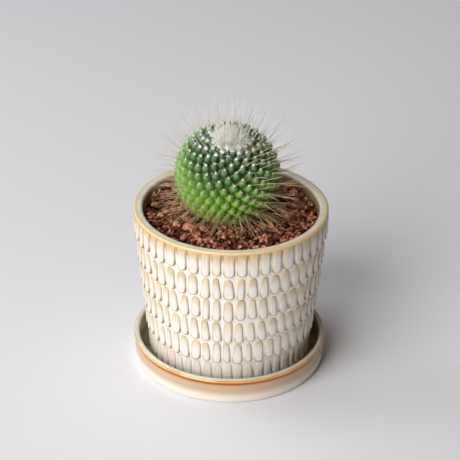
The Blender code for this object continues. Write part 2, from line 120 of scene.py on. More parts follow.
PAD_DRIFT = 0.9 * MM  # how far a pad's bottom and its lean stray
GROOVE = 0.60 * MM  # half the groove between two pads
ROW_GAP = 1.2 * MM  # from the bottoms of a row to the tops of the next

# Saucer
SAUCER_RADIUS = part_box("saucer")[1].x
SAUCER_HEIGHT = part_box("saucer")[1].z
SAUCER_LIP = 3.8 * MM
SAUCER_ROUND = 1.9 * MM  # radius of the lip's outer side and of the foot's edge
SAUCER_ROUND_IN = 1.7 * MM
SAUCER_FILLET = 2.6 * MM
SAUCER_FLOOR = POT_FOOT - 0.3 * MM
SAUCER_RECESS_RADIUS = 46.0 * MM
SAUCER_RECESS = 1.2 * MM
SAUCER_EYE = 0.2 * MM  # the closed skin goes round an eye this small, under the pot
SAUCER_WALL = (  # mm in from the widest and down from the top, between the two round edges
    (0.55, 3.1), (0.85, 3.6), (0.85, 4.4), (0.65, 5.6), (0.55, 7.4), (0.65, 9.0), (0.55, 10.4),
    (0.35, 12.4), (0.5, 14.4),
)
SAUCER_COLUMNS = 192

# Bed of stone chips
SOIL_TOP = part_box("soil")[1].z
BED_TOP_EDGE = 102.4 * MM
BED_TOP_MIDDLE = 103.6 * MM
BED_BASE = 97.4 * MM  # the chips deeper than this are one floor, near black as painted shade
CHIP_SMALL = 5.0 * MM
CHIP_LARGE = 10.6 * MM
CHIP_LEAST = 2.0 * MM  # along the wall
CHIP_SHAPES = 28
CHIP_CORNERS = 13
CHIP_BEVEL = 0.035  # of its width
CHIP_FLAT = math.radians(16.0)  # facets that meet at less than this become one
CHIP_HALF = 0.62  # of its width, half the square that it lies in whatever its turn
CHIP_TRIES = 7000
UPRIGHT = 1e-4  # a facet whose normal rises less than this is upright
CHIP_PROUD = 2.2 * MM  # how far a chip may stand over the bed's level
CHIP_SHADE_DEPTH = 4.0 * MM  # a chip this far under the bed's level gets the full painted shade of the gaps
BED_CELL = 0.4 * MM
SLAB_SIDES = 96
BED_GAP = 0.3 * MM  # to the pot's wall
BED_LOOKS = 14  # places tried for each chip, of which the deepest is taken
CHIP_REST = 0.88  # the share of the ground under a chip that it lies clear of
CHIP_TILT = 0.45  # radians
BODY_GAP = 0.4 * MM  # between the chips and the plant
NECK_CLEAR = 10.5 * MM

# Cactus
BODY_CENTRE = Vector((-2.5, 0.0, 128.5)) * MM
BODY_RADIUS = 32.0 * MM
CORE_RADIUS = 28.0 * MM
LEAN_FORWARD = math.radians(20.0)
LEAN_RIGHT = math.radians(2.0)
CROWN_EDGE = math.radians(13.5)
FIRST_TURN = 2.135
LAST_TUBERCLE = math.radians(172.0)
CROWN_CELL = 11.5 * MM**2
GROWN_CELL = 40.0 * MM**2
CELL_GROWTH = 0.44
TUBERCLE_ROOT = 24.0 * MM  # from the body's centre to the foot of a tubercle
TUBERCLE_WIDTH = 0.49  # half the width, of the distance between two tubercles
TUBERCLE_SAG = 0.22  # how far a tubercle's body hangs below its areole, of the same distance
TUBERCLE_PROUD = 0.7 * MM
TUBERCLE_RISE = 0.22  # how far a tubercle points up from straight out
TUBERCLE_FULL = 3.4  # powers of its outline: how long it stays wide,
TUBERCLE_BLUNT = 0.58  # and how round its tip is
TUBERCLE_SIDES = 16
TUBERCLE_RINGS = 10
NECK_RADIUS = 9.0 * MM
NECK_TOP = BODY_CENTRE.z - 22.0 * MM
NECK_SIDES = 24

# Spines, bristles and wool
SPINE_LENGTH = 20.0 * MM
SPINE_THICKNESS = 0.40 * MM
LOW_SPINES = 118.0 * MM  # the tubercles under this have more of them, and finer ones
LOWEST_TIP = 106.0 * MM
LOWEST_AREOLE = 104.5 * MM
LIT_SIDE = (-0.50, -0.85, -0.10)  # spines are finer on this side,
LIT_FROM = 0.55  # where a tubercle points that way by this cosine,
LIT_SHARE = 0.5  # and this share of them is gone
SWEPT_SIDE = (0.50, -0.82, 0.28)  # and some are swept aside on this one
SWEPT_FROM = 0.80
SWEPT_SHARE = 0.5
SWEPT_WAY = (0.80, -0.25, 0.50)
LEANING_SHARE = 0.16  # of the spines that lean far up towards the crown
SPINE_SAG = 0.05  # of a spine's length
LUMP_SMALL = 0.40 * MM  # radius of an old areole's wool,
LUMP_MORE = 1.10 * MM  # and what a young one has more,
LUMP_FADE = 0.34  # which fades over this angle from the crown
AREOLE_STRANDS = 16
STRAND_FADE = 0.45
CROWN_SPINES = 72
WOOL_TUFTS = 110  # in the crown's white cap,
TUFT_STRANDS = 24
TUFT_SPREAD = 0.024  # of the way from the body's centre
WOOL_ROOT = 31.4 * MM  # from the body's centre
WOOL_REACH = 0.94 * CROWN_EDGE  # how far the tufts spread,
WOOL_DOME = 0.48 * CROWN_EDGE  # and the closed dome under them
DOME_RADIUS = 32.5 * MM
DOME_FALL = 1.8 * MM  # from the middle to where the tubercles start
DOME_INSIDE = 28.5 * MM
OVER_RIM = POT_TOP + 1.0 * MM
RIM_REACH = 52.0 * MM
HIGHEST_TIP = CAD_BOX[1][2] - 0.3 * MM
SIDE_LIMIT = CAD_BOX[1][0] - 0.5 * MM

# Studio: name, place in metres, watts, side in metres and colour of each light
LIGHTS = (
    ("window", (-1.24, -1.49, 1.50), 47.0, 1.7, (1.0, 0.98, 0.95)),
    ("room", (-1.10, -1.72, 0.38), 13.0, 0.9, (1.0, 0.93, 0.85)),
    ("ceiling", (-0.3, 0.2, 1.9), 6.5, 1.2, (1.0, 1.0, 1.0)),
    ("second window", (-1.78, 0.65, 1.55), 14.0, 1.5, (0.95, 0.98, 1.0)),
)
LIGHT_AIM = Vector((0.0, 0.0, 0.09))
ROOM_GLOW = 0.060
FLOOR_SIDE = 8.0


def srgb(*channels):
    """A colour as it is read from a picture, 0 to 255, turned into linear light."""
    share = np.array(channels) / 255.0
    return (*np.where(share <= 0.04045, share / 12.92, ((share + 0.055) / 1.055) ** 2.4), 1.0)


def linked(name, data):
    """A new object of the scene, with this mesh, light or camera."""
    item = bpy.data.objects.new(name, data)
    bpy.context.scene.collection.objects.link(item)
    return item


class Shape:
    """The points, faces and values per point of a mesh, gathered bit by bit."""

    def __init__(self):
        self.points = []
        self.faces = []
        self.values = {}
        self.count = 0

    def add(self, points, faces, **values):
        points = np.asarray(points, float).reshape(-1, 3)
        self.points.append(points)
        for rows in faces:
            self.faces.extend((np.asarray(rows) + self.count).tolist())
        for name, value in values.items():
            whole = np.broadcast_to(np.asarray(value, float), len(points))
            self.values.setdefault(name, []).append(whole)
        self.count += len(points)

    def add_turned(self, radii, heights, columns, **values):
        """Adds a closed skin turned round Z. Radii, heights and values run along its outline."""
        rings = len(heights)
        whole = {name: np.repeat(np.broadcast_to(value, rings), columns) for name, value in values.items()}
        self.add(turned(radii, heights, columns), [ring_faces(rings, columns, closed=True)], **whole)

    def made(self, name, material, smooth=True):
        mesh = bpy.data.meshes.new(name)
        mesh.from_pydata(np.concatenate(self.points).tolist(), [], self.faces)
        for label, parts in self.values.items():
            attribute = mesh.attributes.new(label, "FLOAT", "POINT")
            attribute.data.foreach_set("value", np.concatenate(parts).astype(np.float32))
        if smooth:
            mesh.shade_smooth()
        mesh.materials.append(material)
        return linked(name, mesh)


def ring_faces(rings, columns, closed=False):
    """Quads between rings of points, facing out where the rings run down the outer side."""
    here = np.arange(rings if closed else rings - 1)[:, None]
    below = (here + 1) % rings
    column = np.arange(columns)[None, :]
    after = (column + 1) % columns
    corners = [here * columns + column, below * columns + column]
    corners += [below * columns + after, here * columns + after]
    return np.stack(corners, axis=-1).reshape(-1, 4)


def turned(radii, heights, columns):
    """Points of a surface turned round Z: radii and heights run along the rings."""
    angle = np.arange(columns) * math.tau / columns
    radii = np.broadcast_to(np.asarray(radii, float).reshape(len(heights), -1), (len(heights), columns))
    heights = np.broadcast_to(np.asarray(heights, float)[:, None], radii.shape)
    return np.stack([radii * np.cos(angle), radii * np.sin(angle), heights], axis=-1)


def arc(centre, radius, start, end, steps):
    """Points of an arc in the plane of a profile, angles in degrees."""
    angles = np.radians(np.linspace(start, end, steps))
    return [(centre[0] + radius * math.cos(a), centre[1] + radius * math.sin(a)) for a in angles]


def taken_apart(made):
    """The points and the faces of a bmesh, which is freed."""
    made.verts.index_update()
    points = np.array([vert.co for vert in made.verts])
    faces = [[vert.index for vert in face.verts] for face in made.faces]
    made.free()
    return points, faces


def smooth_step(value):
    share = np.clip(value, 0.0, 1.0)
    return share * share * (3.0 - 2.0 * share)


def unit(vectors):
    return vectors / np.linalg.norm(vectors, axis=-1, keepdims=True)


def tubes(shape, roots, ways, lengths, widths, bends, outline, sides, **values):
    """Adds tapered bodies of revolution, each from a root along its way with a sideways bend.

    outline is a list of (share of the length, share of the width), and every body ends in a point.
    """
    count = len(roots)
    ways = unit(ways)
    reference = np.where(np.abs(ways[:, 2:]) < 0.9, [[0.0, 0.0, 1.0]], [[1.0, 0.0, 0.0]])
    across = unit(np.cross(ways, reference))
    beside = np.cross(ways, across)
    lengths = np.broadcast_to(lengths, count)[:, None]
    widths = np.broadcast_to(widths, count)[:, None, None]
    angle = np.arange(sides) * math.tau / sides
    circle = np.cos(angle)[:, None] * across[:, None] + np.sin(angle)[:, None] * beside[:, None]
    rings = []
    along = []
    for share, width in outline:
        middle = roots + ways * lengths * share + bends * share**2
        rings.append(middle[:, None] + circle * widths * width)
        along.append(np.full((count, sides), share))
    tip = (roots + ways * lengths + bends)[:, None]
    points = np.concatenate(rings + [tip], axis=1)
    along = np.concatenate(along + [np.ones((count, 1))], axis=1)
    per_body = points.shape[1]
    first = np.arange(count)[:, None, None] * per_body
    quads = ring_faces(len(outline), sides)[:, ::-1]
    last = (len(outline) - 1) * sides
    column = np.arange(sides)
    fan = np.stack([last + column, last + (column + 1) % sides, np.full(sides, per_body - 1)], axis=-1)
    foot = column[::-1][None]
    faces = [(part[None] + first).reshape(-1, part.shape[1]) for part in (quads, fan, foot)]
    whole = {name: np.repeat(np.broadcast_to(value, count), per_body) for name, value in values.items()}
    shape.add(points, faces, along=along.ravel(), **whole)


class Paint:
    """A Principled material, with short words for the nodes that steer it.

    Colours are written as they are read from a picture, 0 to 255.
    """

    def __init__(self, name, **settings):
        self.material = bpy.data.materials.new(name)
        self.material.use_nodes = True
        self.tree = self.material.node_tree
        self.shader = self.tree.nodes["Principled BSDF"]
        for label, value in settings.items():
            self.shader.inputs[label.replace("_", " ")].default_value = value

    def node(self, kind, inputs=(), **settings):
        made = self.tree.nodes.new("ShaderNode" + kind)
        for name, value in settings.items():
            setattr(made, name, value)
        for place, value in inputs:
            self.put(made.inputs[place], value)
        return made

    def put(self, socket, value):
        if isinstance(value, bpy.types.NodeSocket):
            self.tree.links.new(value, socket)
        else:
            socket.default_value = srgb(*value) if socket.type == "RGBA" else value

    def value(self, name):
        return self.node("Attribute", attribute_name=name).outputs["Fac"]

    def place(self):
        return self.node("TexCoord").outputs["Object"]

    def height(self):
        return self.node("SeparateXYZ", [(0, self.place())]).outputs["Z"]

    def noise(self, size, detail, stretch=(1.0, 1.0, 1.0)):
        """Noise whose patches are about this many metres wide."""
        spread = self.node("VectorMath", [(0, self.place()), (1, stretch)], operation="MULTIPLY")
        inputs = [("Vector", spread.outputs[0]), ("Scale", 1.0 / size), ("Detail", detail)]
        return self.node("TexNoise", inputs).outputs["Fac"]

    def span(self, value, low, high):
        """0 at low and below, 1 at high and above, and smooth between."""
        inputs = [("Value", value), ("From Min", low), ("From Max", high)]
        return self.node("MapRange", inputs, interpolation_type="SMOOTHSTEP").outputs["Result"]

    def math(self, operation, first, second):
        return self.node("Math", [(0, first), (1, second)], operation=operation).outputs[0]

    def times(self, first, second):
        return self.math("MULTIPLY", first, second)

    def plus(self, first, second):
        return self.math("ADD", first, second)

    def mix(self, share, low, high):
        inputs = [("Factor", share), (6, low), (7, high)]
        return self.node("Mix", inputs, data_type="RGBA").outputs[2]

    def blend(self, value, start, end, first, second):
        """The first colour up to where the value is at the start, and the second one from its end on."""
        return self.mix(self.span(value, start, end), first, second)

    def tinted(self, colour, other, share, *factors):
        """The colour with another one over it, by a share that is multiplied with the factors."""
        for factor in factors:
            share = self.times(share, factor)
        return self.mix(share, colour, other)

    def bump(self, height, depth):
        inputs = [("Height", height), ("Distance", depth), ("Strength", 1.0)]
        return self.node("Bump", inputs).outputs["Normal"]

    def finish(self, colour, roughness=None, normal=None):
        for label, value in (("Base Color", colour), ("Roughness", roughness), ("Normal", normal)):
            if value is not None:
                self.put(self.shader.inputs[label], value)
        return self.material


def place_piece(item, slot, *nodes):
    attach(item, "root")
    if nodes:
        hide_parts(*nodes)


# Pot

def wall_radius(height):
    return FOOT_RADIUS + (height - POT_FOOT) * WALL_SLOPE


def inner_radius(height):
    return wall_radius(height) - POT_WALL


def wall_swell(heights):
    """How far the wall comes out towards the bottom of each row, to go back in under it."""
    swell = np.zeros(np.shape(heights))
    for row in range(ROWS):
        bottom = FIRST_ROW_BOTTOM - row * ROW_PITCH
        above = np.clip((bottom + ROW_PITCH - heights) / ROW_PITCH, 0.0, 1.0) ** 1.1
        below = smooth_step((heights - bottom + UNDERCUT) / UNDERCUT_HEIGHT)
        swell = np.maximum(swell, WALL_SWELL * above * below)
    return swell


def round_end(half, height, start):
    """Half of a rounded oblong's end, from the angle start on, as points from its middle."""
    angle = start + np.linspace(0.0, math.pi, PAD_ARC)
    across = np.sign(np.cos(angle)) * np.abs(np.cos(angle)) ** PAD_CORNER
    up = np.sign(np.sin(angle)) * np.abs(np.sin(angle)) ** PAD_CORNER
    return np.stack([half * across, height * up], axis=-1)


def pad_outline(wide, narrow, bottom, top, square_top):
    """Points round a pad, and for each the point of the pad's middle line that it is drawn in towards."""
    low = bottom + wide * PAD_LOWER_END
    high = top - (SQUARE_END if square_top else narrow * PAD_UPPER_END)
    steps = np.linspace(0.0, 1.0, PAD_SIDE + 2)[1:-1]
    side = np.stack([wide + (narrow - wide) * steps, low + (high - low) * steps], axis=-1)
    spine = np.stack([0.0 * steps, side[:, 1]], axis=-1)
    lower = round_end(wide, low - bottom, math.pi) + (0.0, low)
    upper = round_end(narrow, top - high, 0.0) + (0.0, high)
    left = side[::-1] * (-1.0, 1.0)
    low_end, high_end = [np.tile((0.0, height), (PAD_ARC, 1)) for height in (low, high)]
    middle = np.concatenate([low_end, spine, high_end, spine[::-1]])
    return np.concatenate([lower, side, upper, left]), middle


def pad_net(outline, middle):
    """A pad's points from its edge inward, how far in each is, and how far its middle line is."""
    reach = np.linalg.norm(outline - middle, axis=1)
    shares = [np.ones(len(reach))]
    shares += [np.maximum(1.0 - depth * MM / reach, 0.5) for depth in PAD_RINGS]
    shares += [np.full(len(reach), share) for share in PAD_INNER_RINGS]
    flat = np.concatenate([middle + (outline - middle) * share[:, None] for share in shares])
    inside = np.concatenate([(1.0 - share) * reach for share in shares])
    return flat, inside, np.tile(reach, len(shares))


def add_pad(shape, row, left, right, draw):
    """One pad of a row, between two places on it that are counted in pads."""
    pitch = math.tau / PADS
    bottom = FIRST_ROW_BOTTOM - row * ROW_PITCH + draw.uniform(-1.0, 1.0) * PAD_DRIFT
    top = FIRST_ROW_BOTTOM - (row - 1) * ROW_PITCH - ROW_GAP + draw.uniform(-1.0, 0.6) * MM
    if row == 0:
        top = BAND_BOTTOM + 0.9 * MM
    radius = wall_radius(bottom) + PAD_LOW
    wide = (right - left) * pitch * radius / 2.0 - GROOVE * draw.uniform(0.8, 1.3)
    narrow = wide * (draw.choice(PAD_TAPERS) if row else TOP_TAPER)
    tilt = draw.uniform(-1.0, 1.0) * PAD_DRIFT if row else 0.0
    tone = draw.uniform(-1.0, 1.0)
    outline, middle = pad_outline(wide, narrow, bottom, top, square_top=row == 0)
    flat, inside, half = pad_net(outline, middle)
    count = len(outline)
    rings = len(flat) // count
    height = flat[:, 1]
    share = np.clip((height - bottom) / (top - bottom), 0.0, 1.0)
    edge = (0.75 + 0.75 * share) * MM
    dome = np.sqrt(1.0 - (1.0 - np.clip(inside / edge, 0.0, 1.0)) ** 2)
    pillow = np.clip(inside / half, 0.0, 1.0) * PAD_PILLOW * (1.0 - 0.6 * share)
    tall = PAD_HIGH + (PAD_LOW - PAD_HIGH) * (1.0 - share) ** 0.7
    tall = np.where(height > BAND_BOTTOM - 3.0 * MM, np.minimum(tall, BAND_PROUD), tall)
    rise = (tall * dome + pillow) * ROW_HEIGHTS[row]
    rise[:count] = -PAD_FOOT
    turn = (left + right) / 2.0 * pitch + (flat[:, 0] + tilt * (share - 0.3)) / radius
    out = wall_radius(height) + wall_swell(height) + rise
    points = np.stack([out * np.cos(turn), out * np.sin(turn), height], axis=-1)
    rounder = 1.0 - np.clip(inside / (0.7 * half), 0.0, 1.0)
    tan = smooth_step((share - 0.35) / 0.6) * 0.72 + 0.60 * rounder * (0.30 + 0.70 * share)
    tan = np.maximum(tan, smooth_step((height - BAND_BOTTOM + 4.0 * MM) / (3.5 * MM)))
    gold = 0.75 * smooth_step((height - BAND_BOTTOM + 2.6 * MM) / (2.6 * MM))
    # Strength of the lines at a pad's edge, greatest at its lower end, where painted shade lies under it.
    low = smooth_step((bottom + 1.9 * wide - height) / (1.5 * wide))
    around = np.arange(count)[None]
    faces = [ring_faces(rings, count)[:, ::-1], around + (rings - 1) * count, around[:, ::-1]]
    shape.add(
        points, faces, pad=1.0, tone=tone, tan=np.clip(tan, 0.0, 1.0) * ROW_TANS[row], edge=inside / MM,
        low=(0.22 + 0.78 * low) * ROW_TANS[row] ** 0.5, gold=gold,
    )


def make_pads(material):
    draw = np.random.default_rng(SEED)
    shape = Shape()
    for row in range(ROWS):
        edges = np.arange(PADS) + draw.uniform(-PAD_JITTER, PAD_JITTER, PADS) + ROW_PHASES[row] - 0.5
        for left, right in zip(edges, np.append(edges[1:], edges[0] + PADS)):
            add_pad(shape, row, left, right, draw)
    place_piece(shape.made("pot_pads", material), "pot_glaze")  # the relief of pot_glazed


def pot_profile():
    """The rest of the pot's outline: from the outer foot under it, up the inside, and over the lip."""
    floor = POT_FOOT + POT_FLOOR
    recess = POT_FOOT + FOOT_RECESS
    ring_in = FOOT_RADIUS - FOOT_RING
    edge = 0.6 * MM  # of the drain hole, slanted
    points = [
        (FOOT_RADIUS - 0.5 * MM, POT_FOOT + 0.15 * MM),
        (FOOT_RADIUS - 1.3 * MM, POT_FOOT),
        (ring_in + 0.5 * MM, POT_FOOT),
        (ring_in, POT_FOOT + 0.4 * MM),
        (ring_in - FOOT_RECESS, recess),
        (DRAIN_RADIUS + 5.0 * edge, recess),
        (DRAIN_RADIUS + edge, recess),
        (DRAIN_RADIUS, recess + edge),
        (DRAIN_RADIUS, floor - edge),
        (DRAIN_RADIUS + edge, floor),
        (inner_radius(floor) - 4.0 * MM, floor),
        (inner_radius(floor + 1.0 * MM) - 1.2 * MM, floor + 1.0 * MM),
    ]
    for height in (floor + 4.0 * MM, 60.0 * MM, 90.0 * MM, 100.0 * MM):
        points.append((inner_radius(height), height))
    round_in = LIP_WIDTH * LIP_ROUND_IN
    middle = (inner_radius(POT_TOP) + round_in, POT_TOP - round_in)
    points += arc(middle, round_in, 180.0, 90.0, LIP_ARC)
    outer = wall_radius(POT_TOP) + BAND_PROUD
    points += [(outer - LIP_GOLD - 0.4 * MM, POT_TOP), (outer - LIP_GOLD, POT_TOP)]
    points += arc((outer - LIP_ROUND, POT_TOP - LIP_ROUND), LIP_ROUND, 90.0, -10.0, LIP_ARC)
    return points


def make_pot(material):
    heights = np.linspace(BAND_BOTTOM + 0.6 * MM, POT_FOOT + 0.6 * MM, POT_LEVELS)
    band = smooth_step((heights - BAND_BOTTOM + 0.5 * MM) / (0.8 * MM))
    radii = wall_radius(heights) + wall_swell(heights) * (1.0 - band) + band * BAND_PROUD
    rest = np.array(pot_profile())
    radii = np.concatenate([radii, rest[:, 0]])
    heights = np.concatenate([heights, rest[:, 1]])
    inside = np.concatenate([np.zeros(POT_LEVELS), np.ones(len(rest))])
    inside[-LIP_ARC - 1:] = 0.0  # the golden side of the lip
    outside = 1.0 - inside
    rim = smooth_step((heights - BAND_BOTTOM + 0.9 * MM) / (1.3 * MM)) * outside
    # The lip's outer crest, painted lighter than the gold below it: gold glaze with a painted highlight.
    crest = smooth_step((heights - POT_TOP + 1.9 * MM) / (0.9 * MM)) * outside
    # The narrow grooves under the band, which take tan glaze and painted shade.
    notch = smooth_step((heights - BAND_BOTTOM + 8.0 * MM) / (7.0 * MM)) * outside
    shape = Shape()
    shape.add_turned(radii, heights, POT_COLUMNS, inside=inside, gold=rim, crest=crest, notch=notch)
    place_piece(shape.made("pot_glazed", material), "pot_glaze", "pot")


def pot_material():
    paint = Paint("pot glaze", Coat_Weight=0.3, Coat_Roughness=0.15, IOR=1.5)
    speckle = paint.noise(0.9 * MM, 4.0)
    cloud = paint.noise(7.0 * MM, 3.0)
    streak = paint.noise(2.2 * MM, 3.0, (1.0, 1.0, 0.35))
    edge = paint.value("edge")
    low = paint.value("low")
    tan = paint.blend(paint.value("tone"), -1.0, 1.0, (206, 184, 146), (224, 205, 174))
    white = paint.mix(cloud, (228, 224, 219), (241, 238, 235))
    share = paint.plus(paint.value("tan"), paint.times(paint.math("SUBTRACT", streak, 0.5), 0.8))
    pad = paint.blend(share, 0.05, 0.95, white, tan)
    # A golden line where the glaze breaks thin inside a pad's edge, then a darker line at the edge itself:
    # glaze break with painted shade, strongest at the pad's lower end.
    pad = paint.tinted(pad, (210, 184, 134), paint.span(edge, 1.6, 0.75), low)
    pad = paint.tinted(pad, (138, 114, 72), paint.span(edge, 0.85, 0.30), low)
    groove = paint.mix(cloud, (241, 237, 230), (249, 247, 244))
    # Tan glaze and painted shade in the narrow grooves just under the band.
    groove = paint.tinted(groove, (166, 136, 96), paint.value("notch"), paint.span(streak, 0.1, 0.6))
    colour = paint.mix(paint.value("pad"), groove, pad)
    colour = paint.tinted(colour, (206, 178, 142), paint.span(speckle, 0.55, 0.75), 0.16)
    # The inside wall is brownish and darker than the lip: partly its glaze, partly painted shade and
    # reflection inside the pot.
    inner = paint.blend(cloud, 0.3, 0.7, (160, 134, 94), (192, 168, 124))
    lip = paint.blend(cloud, 0.3, 0.7, (222, 218, 204), (240, 237, 227))
    inner = paint.blend(paint.height(), POT_TOP - 2.6 * MM, POT_TOP - 1.2 * MM, inner, lip)
    colour = paint.mix(paint.value("inside"), colour, inner)
    gold = paint.blend(cloud, 0.3, 0.7, (206, 166, 108), (226, 190, 134))
    colour = paint.mix(paint.value("gold"), colour, gold)
    # Painted highlight along the lip's outer crest, over the gold glaze.
    colour = paint.mix(paint.value("crest"), colour, (232, 208, 158))
    rough = paint.plus(paint.times(speckle, 0.16), 0.30)
    return paint.finish(colour, rough, paint.bump(paint.noise(1.6 * MM, 2.0), 0.05 * MM))


# Saucer

def saucer_profile():
    """Down the outer side from the lip's middle, under the foot, and back over the inside."""
    radius = SAUCER_RADIUS
    top = SAUCER_HEIGHT
    lip_in = radius - SAUCER_LIP
    points = arc((radius - SAUCER_ROUND, top - SAUCER_ROUND), SAUCER_ROUND, 90.0, -25.0, 12)
    points += [(radius - inward * MM, top - down * MM) for inward, down in SAUCER_WALL]
    points += arc((radius - SAUCER_ROUND - 0.9 * MM, SAUCER_ROUND), SAUCER_ROUND, -10.0, -90.0, 6)
    points += [
        (SAUCER_RECESS_RADIUS + 0.6 * MM, 0.0),
        (SAUCER_RECESS_RADIUS, 0.3 * MM),
        (SAUCER_RECESS_RADIUS - SAUCER_RECESS, SAUCER_RECESS),
        (20.0 * MM, SAUCER_RECESS),
        (SAUCER_EYE, SAUCER_RECESS),
        (SAUCER_EYE, SAUCER_FLOOR),
        (20.0 * MM, SAUCER_FLOOR),
        (50.0 * MM, SAUCER_FLOOR),
    ]
    fillet = (lip_in - SAUCER_FILLET - 0.6 * MM, SAUCER_FLOOR + SAUCER_FILLET)
    points += arc(fillet, SAUCER_FILLET, -90.0, -8.0, 7)
    points += [(lip_in - 0.1 * MM, top - 3.6 * MM)]
    points += arc((lip_in + SAUCER_ROUND_IN, top - SAUCER_ROUND_IN), SAUCER_ROUND_IN, 180.0, 90.0, 8)
    return points


def make_saucer(material):
    radii, heights = np.array(saucer_profile()).T
    shape = Shape()
    shape.add_turned(radii, heights, SAUCER_COLUMNS)
    place_piece(shape.made("saucer_glazed", material), "saucer_glaze", "saucer")


def saucer_material():
    paint = Paint("saucer glaze", Coat_Weight=0.2, Coat_Roughness=0.12, IOR=1.45)
    place = paint.node("SeparateXYZ", [(0, paint.place())])
    across = paint.node("CombineXYZ", [("X", place.outputs["X"]), ("Y", place.outputs["Y"])])
    radius = paint.node("VectorMath", [(0, across.outputs[0])], operation="LENGTH").outputs["Value"]
    height = place.outputs["Z"]
    cloud = paint.noise(12.0 * MM, 3.0)
    shift = paint.times(paint.math("SUBTRACT", cloud, 0.5), 0.9 * MM)
    wavy = paint.plus(height, shift)
    slow = paint.plus(height, paint.times(shift, 3.0))
    cream = paint.mix(cloud, (232, 223, 208), (243, 237, 226))
    peach = paint.mix(cloud, (192, 164, 134), (208, 184, 157))
    amber = paint.blend(cloud, 0.35, 0.65, (226, 138, 34), (240, 168, 70))
    # The amber band's core is its glaze with a painted highlight.
    core = paint.blend(cloud, 0.35, 0.65, (246, 190, 96), (255, 226, 160))
    lip = paint.blend(cloud, 0.3, 0.7, (210, 205, 188), (228, 224, 210))
    olive = paint.blend(cloud, 0.35, 0.65, (148, 130, 98), (192, 181, 154))
    colour = paint.blend(slow, 3.6 * MM, 9.2 * MM, cream, peach)
    bands = (  # mm down from the top, where each band's colour starts and where it is full
        (wavy, 5.6, 3.4, (204, 124, 62)),
        # The dark brown line under the lip's overhang: its glaze with painted shade.
        (wavy, 4.1, 3.5, (156, 84, 4)),
        (height, 2.1, 1.8, amber),
        # The amber band's core: glaze with a painted highlight.
        (height, 1.5, 1.3, core),
        (height, 1.05, 0.85, (158, 122, 80)),
        (height, 0.75, 0.5, lip),
    )
    for level, start, full, band in bands:
        colour = paint.blend(level, SAUCER_HEIGHT - start * MM, SAUCER_HEIGHT - full * MM, colour, band)
    crest = SAUCER_RADIUS - SAUCER_ROUND
    colour = paint.blend(radius, crest, crest - 0.3 * MM, colour, lip)
    lip_in = SAUCER_RADIUS - SAUCER_LIP
    colour = paint.blend(radius, lip_in + 1.0 * MM, lip_in + 0.3 * MM, colour, olive)
    speckle = paint.noise(1.2 * MM, 4.0)
    colour = paint.tinted(colour, (150, 110, 70), paint.span(speckle, 0.6, 0.75), 0.15)
    return paint.finish(colour, 0.22, paint.bump(paint.noise(4.0 * MM, 2.0), 0.08 * MM))


# Bed of stone chips

def chip_shape(draw):
    """A broken stone of about unit width: its points, its faces and the planes of its facets."""
    shape = bmesh.new()
    points = unit(draw.normal(size=(CHIP_CORNERS, 3))) * draw.uniform(0.82, 1.0, (CHIP_CORNERS, 1)) * 0.5
    points *= (1.0, draw.uniform(0.7, 0.95), draw.uniform(0.5, 0.8))
    for point in points:
        shape.verts.new(point)
    result = bmesh.ops.convex_hull(shape, input=shape.verts)
    inner = [item for item in result["geom_interior"] if isinstance(item, bmesh.types.BMVert)]
    bmesh.ops.delete(shape, geom=inner, context="VERTS")
    bmesh.ops.dissolve_limit(shape, angle_limit=CHIP_FLAT, verts=shape.verts, edges=shape.edges)
    bmesh.ops.triangulate(shape, faces=shape.faces)
    bmesh.ops.recalc_face_normals(shape, faces=shape.faces)
    shape.normal_update()
    planes = np.array([[*face.normal, face.normal.dot(face.verts[0].co)] for face in shape.faces])
    bmesh.ops.bevel(shape, geom=shape.edges, offset=CHIP_BEVEL, segments=1, affect="EDGES")
    bmesh.ops.triangulate(shape, faces=shape.faces)
    return *taken_apart(shape), planes


